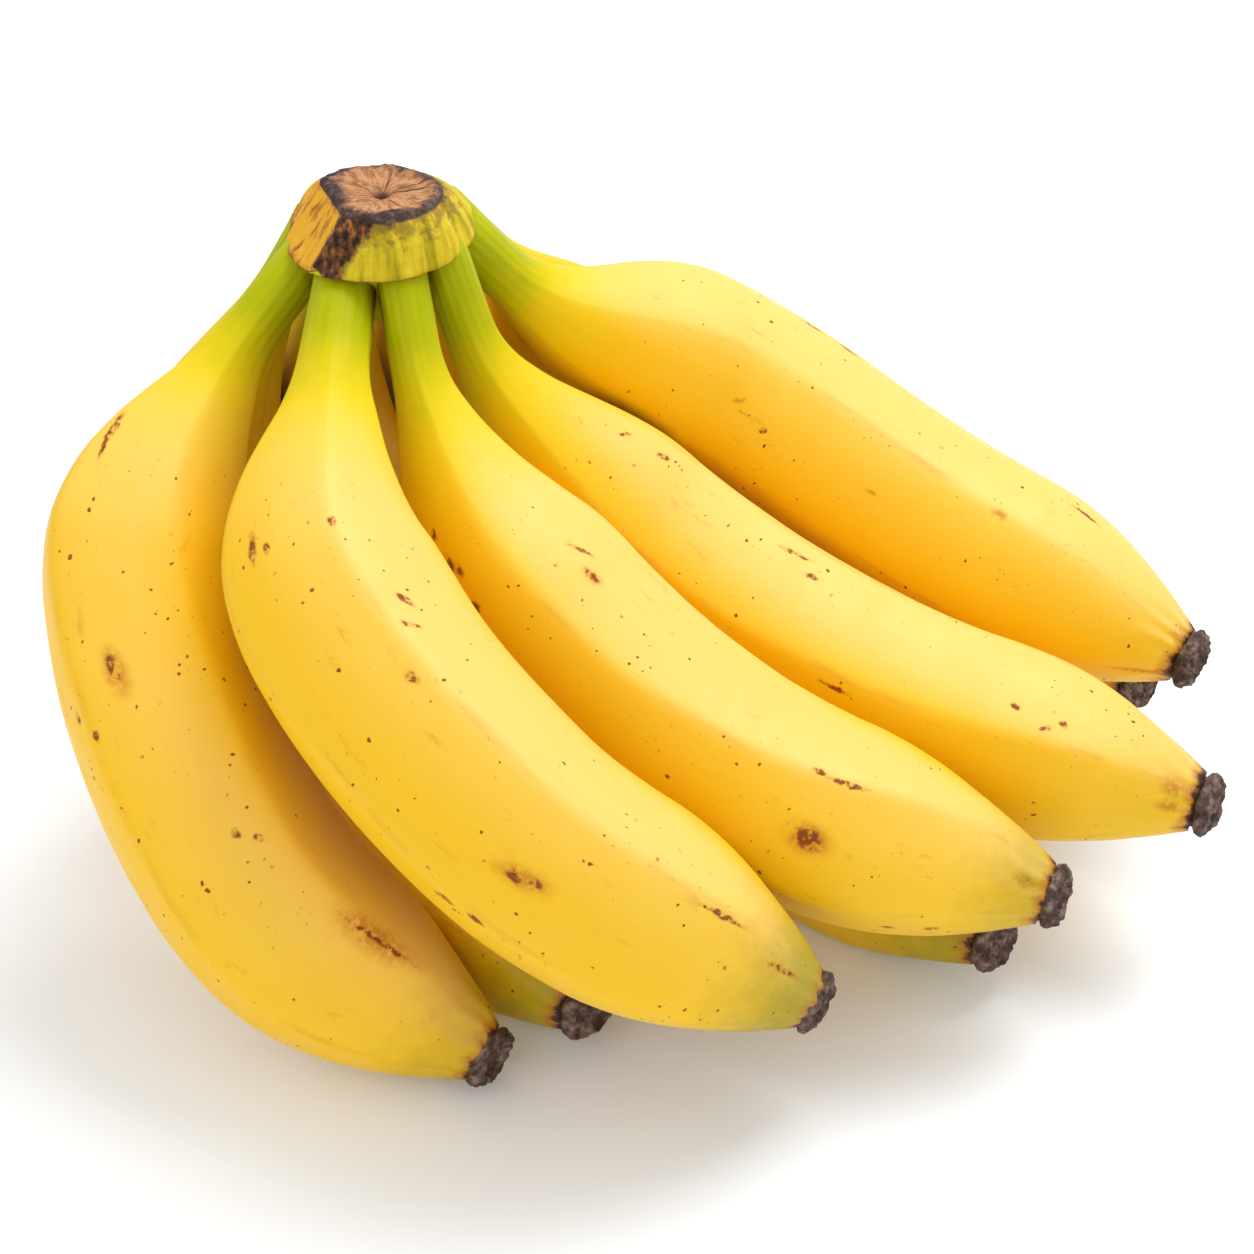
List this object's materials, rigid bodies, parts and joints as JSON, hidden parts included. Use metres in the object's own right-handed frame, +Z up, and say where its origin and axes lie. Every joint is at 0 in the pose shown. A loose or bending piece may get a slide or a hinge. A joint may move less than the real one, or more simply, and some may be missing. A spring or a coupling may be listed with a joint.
{
  "type": "bunch of bananas",
  "caption": "Bunch of ripe yellow bananas: two rows of curved, softly ridged fingers on one cut crown, lying on its lower row.",
  "frame": {"origin": "on the resting surface, under the middle of the whole bunch's box", "axes": "+Z up from the resting surface, -Y to the front, +X to the side that most flower ends point to"},
  "size_m": [0.2324, 0.21, 0.1427],
  "materials": {
    "peel": "smooth, slightly waxy ripe peel, lime green at the stems, with brown freckles",
    "flower_end": "dry, rough, dark brown flower end",
    "crown": "cut crown, tan fibrous top with a dark rim and an olive band"
  },
  "bodies": {
    "root": {"crown": "crown", "upper_finger_1": "peel", "upper_finger_1_tip": "flower_end", "upper_finger_2": "peel", "upper_finger_2_tip": "flower_end", "upper_finger_3": "peel", "upper_finger_3_tip": "flower_end", "upper_finger_4": "peel", "upper_finger_4_tip": "flower_end", "upper_finger_5": "peel", "upper_finger_5_tip": "flower_end", "lower_finger_1": "peel", "lower_finger_1_tip": "flower_end", "lower_finger_2": "peel", "lower_finger_2_tip": "flower_end", "lower_finger_3": "peel", "lower_finger_3_tip": "flower_end", "lower_finger_4": "peel", "lower_finger_4_tip": "flower_end"}
  },
  "joints": []
}
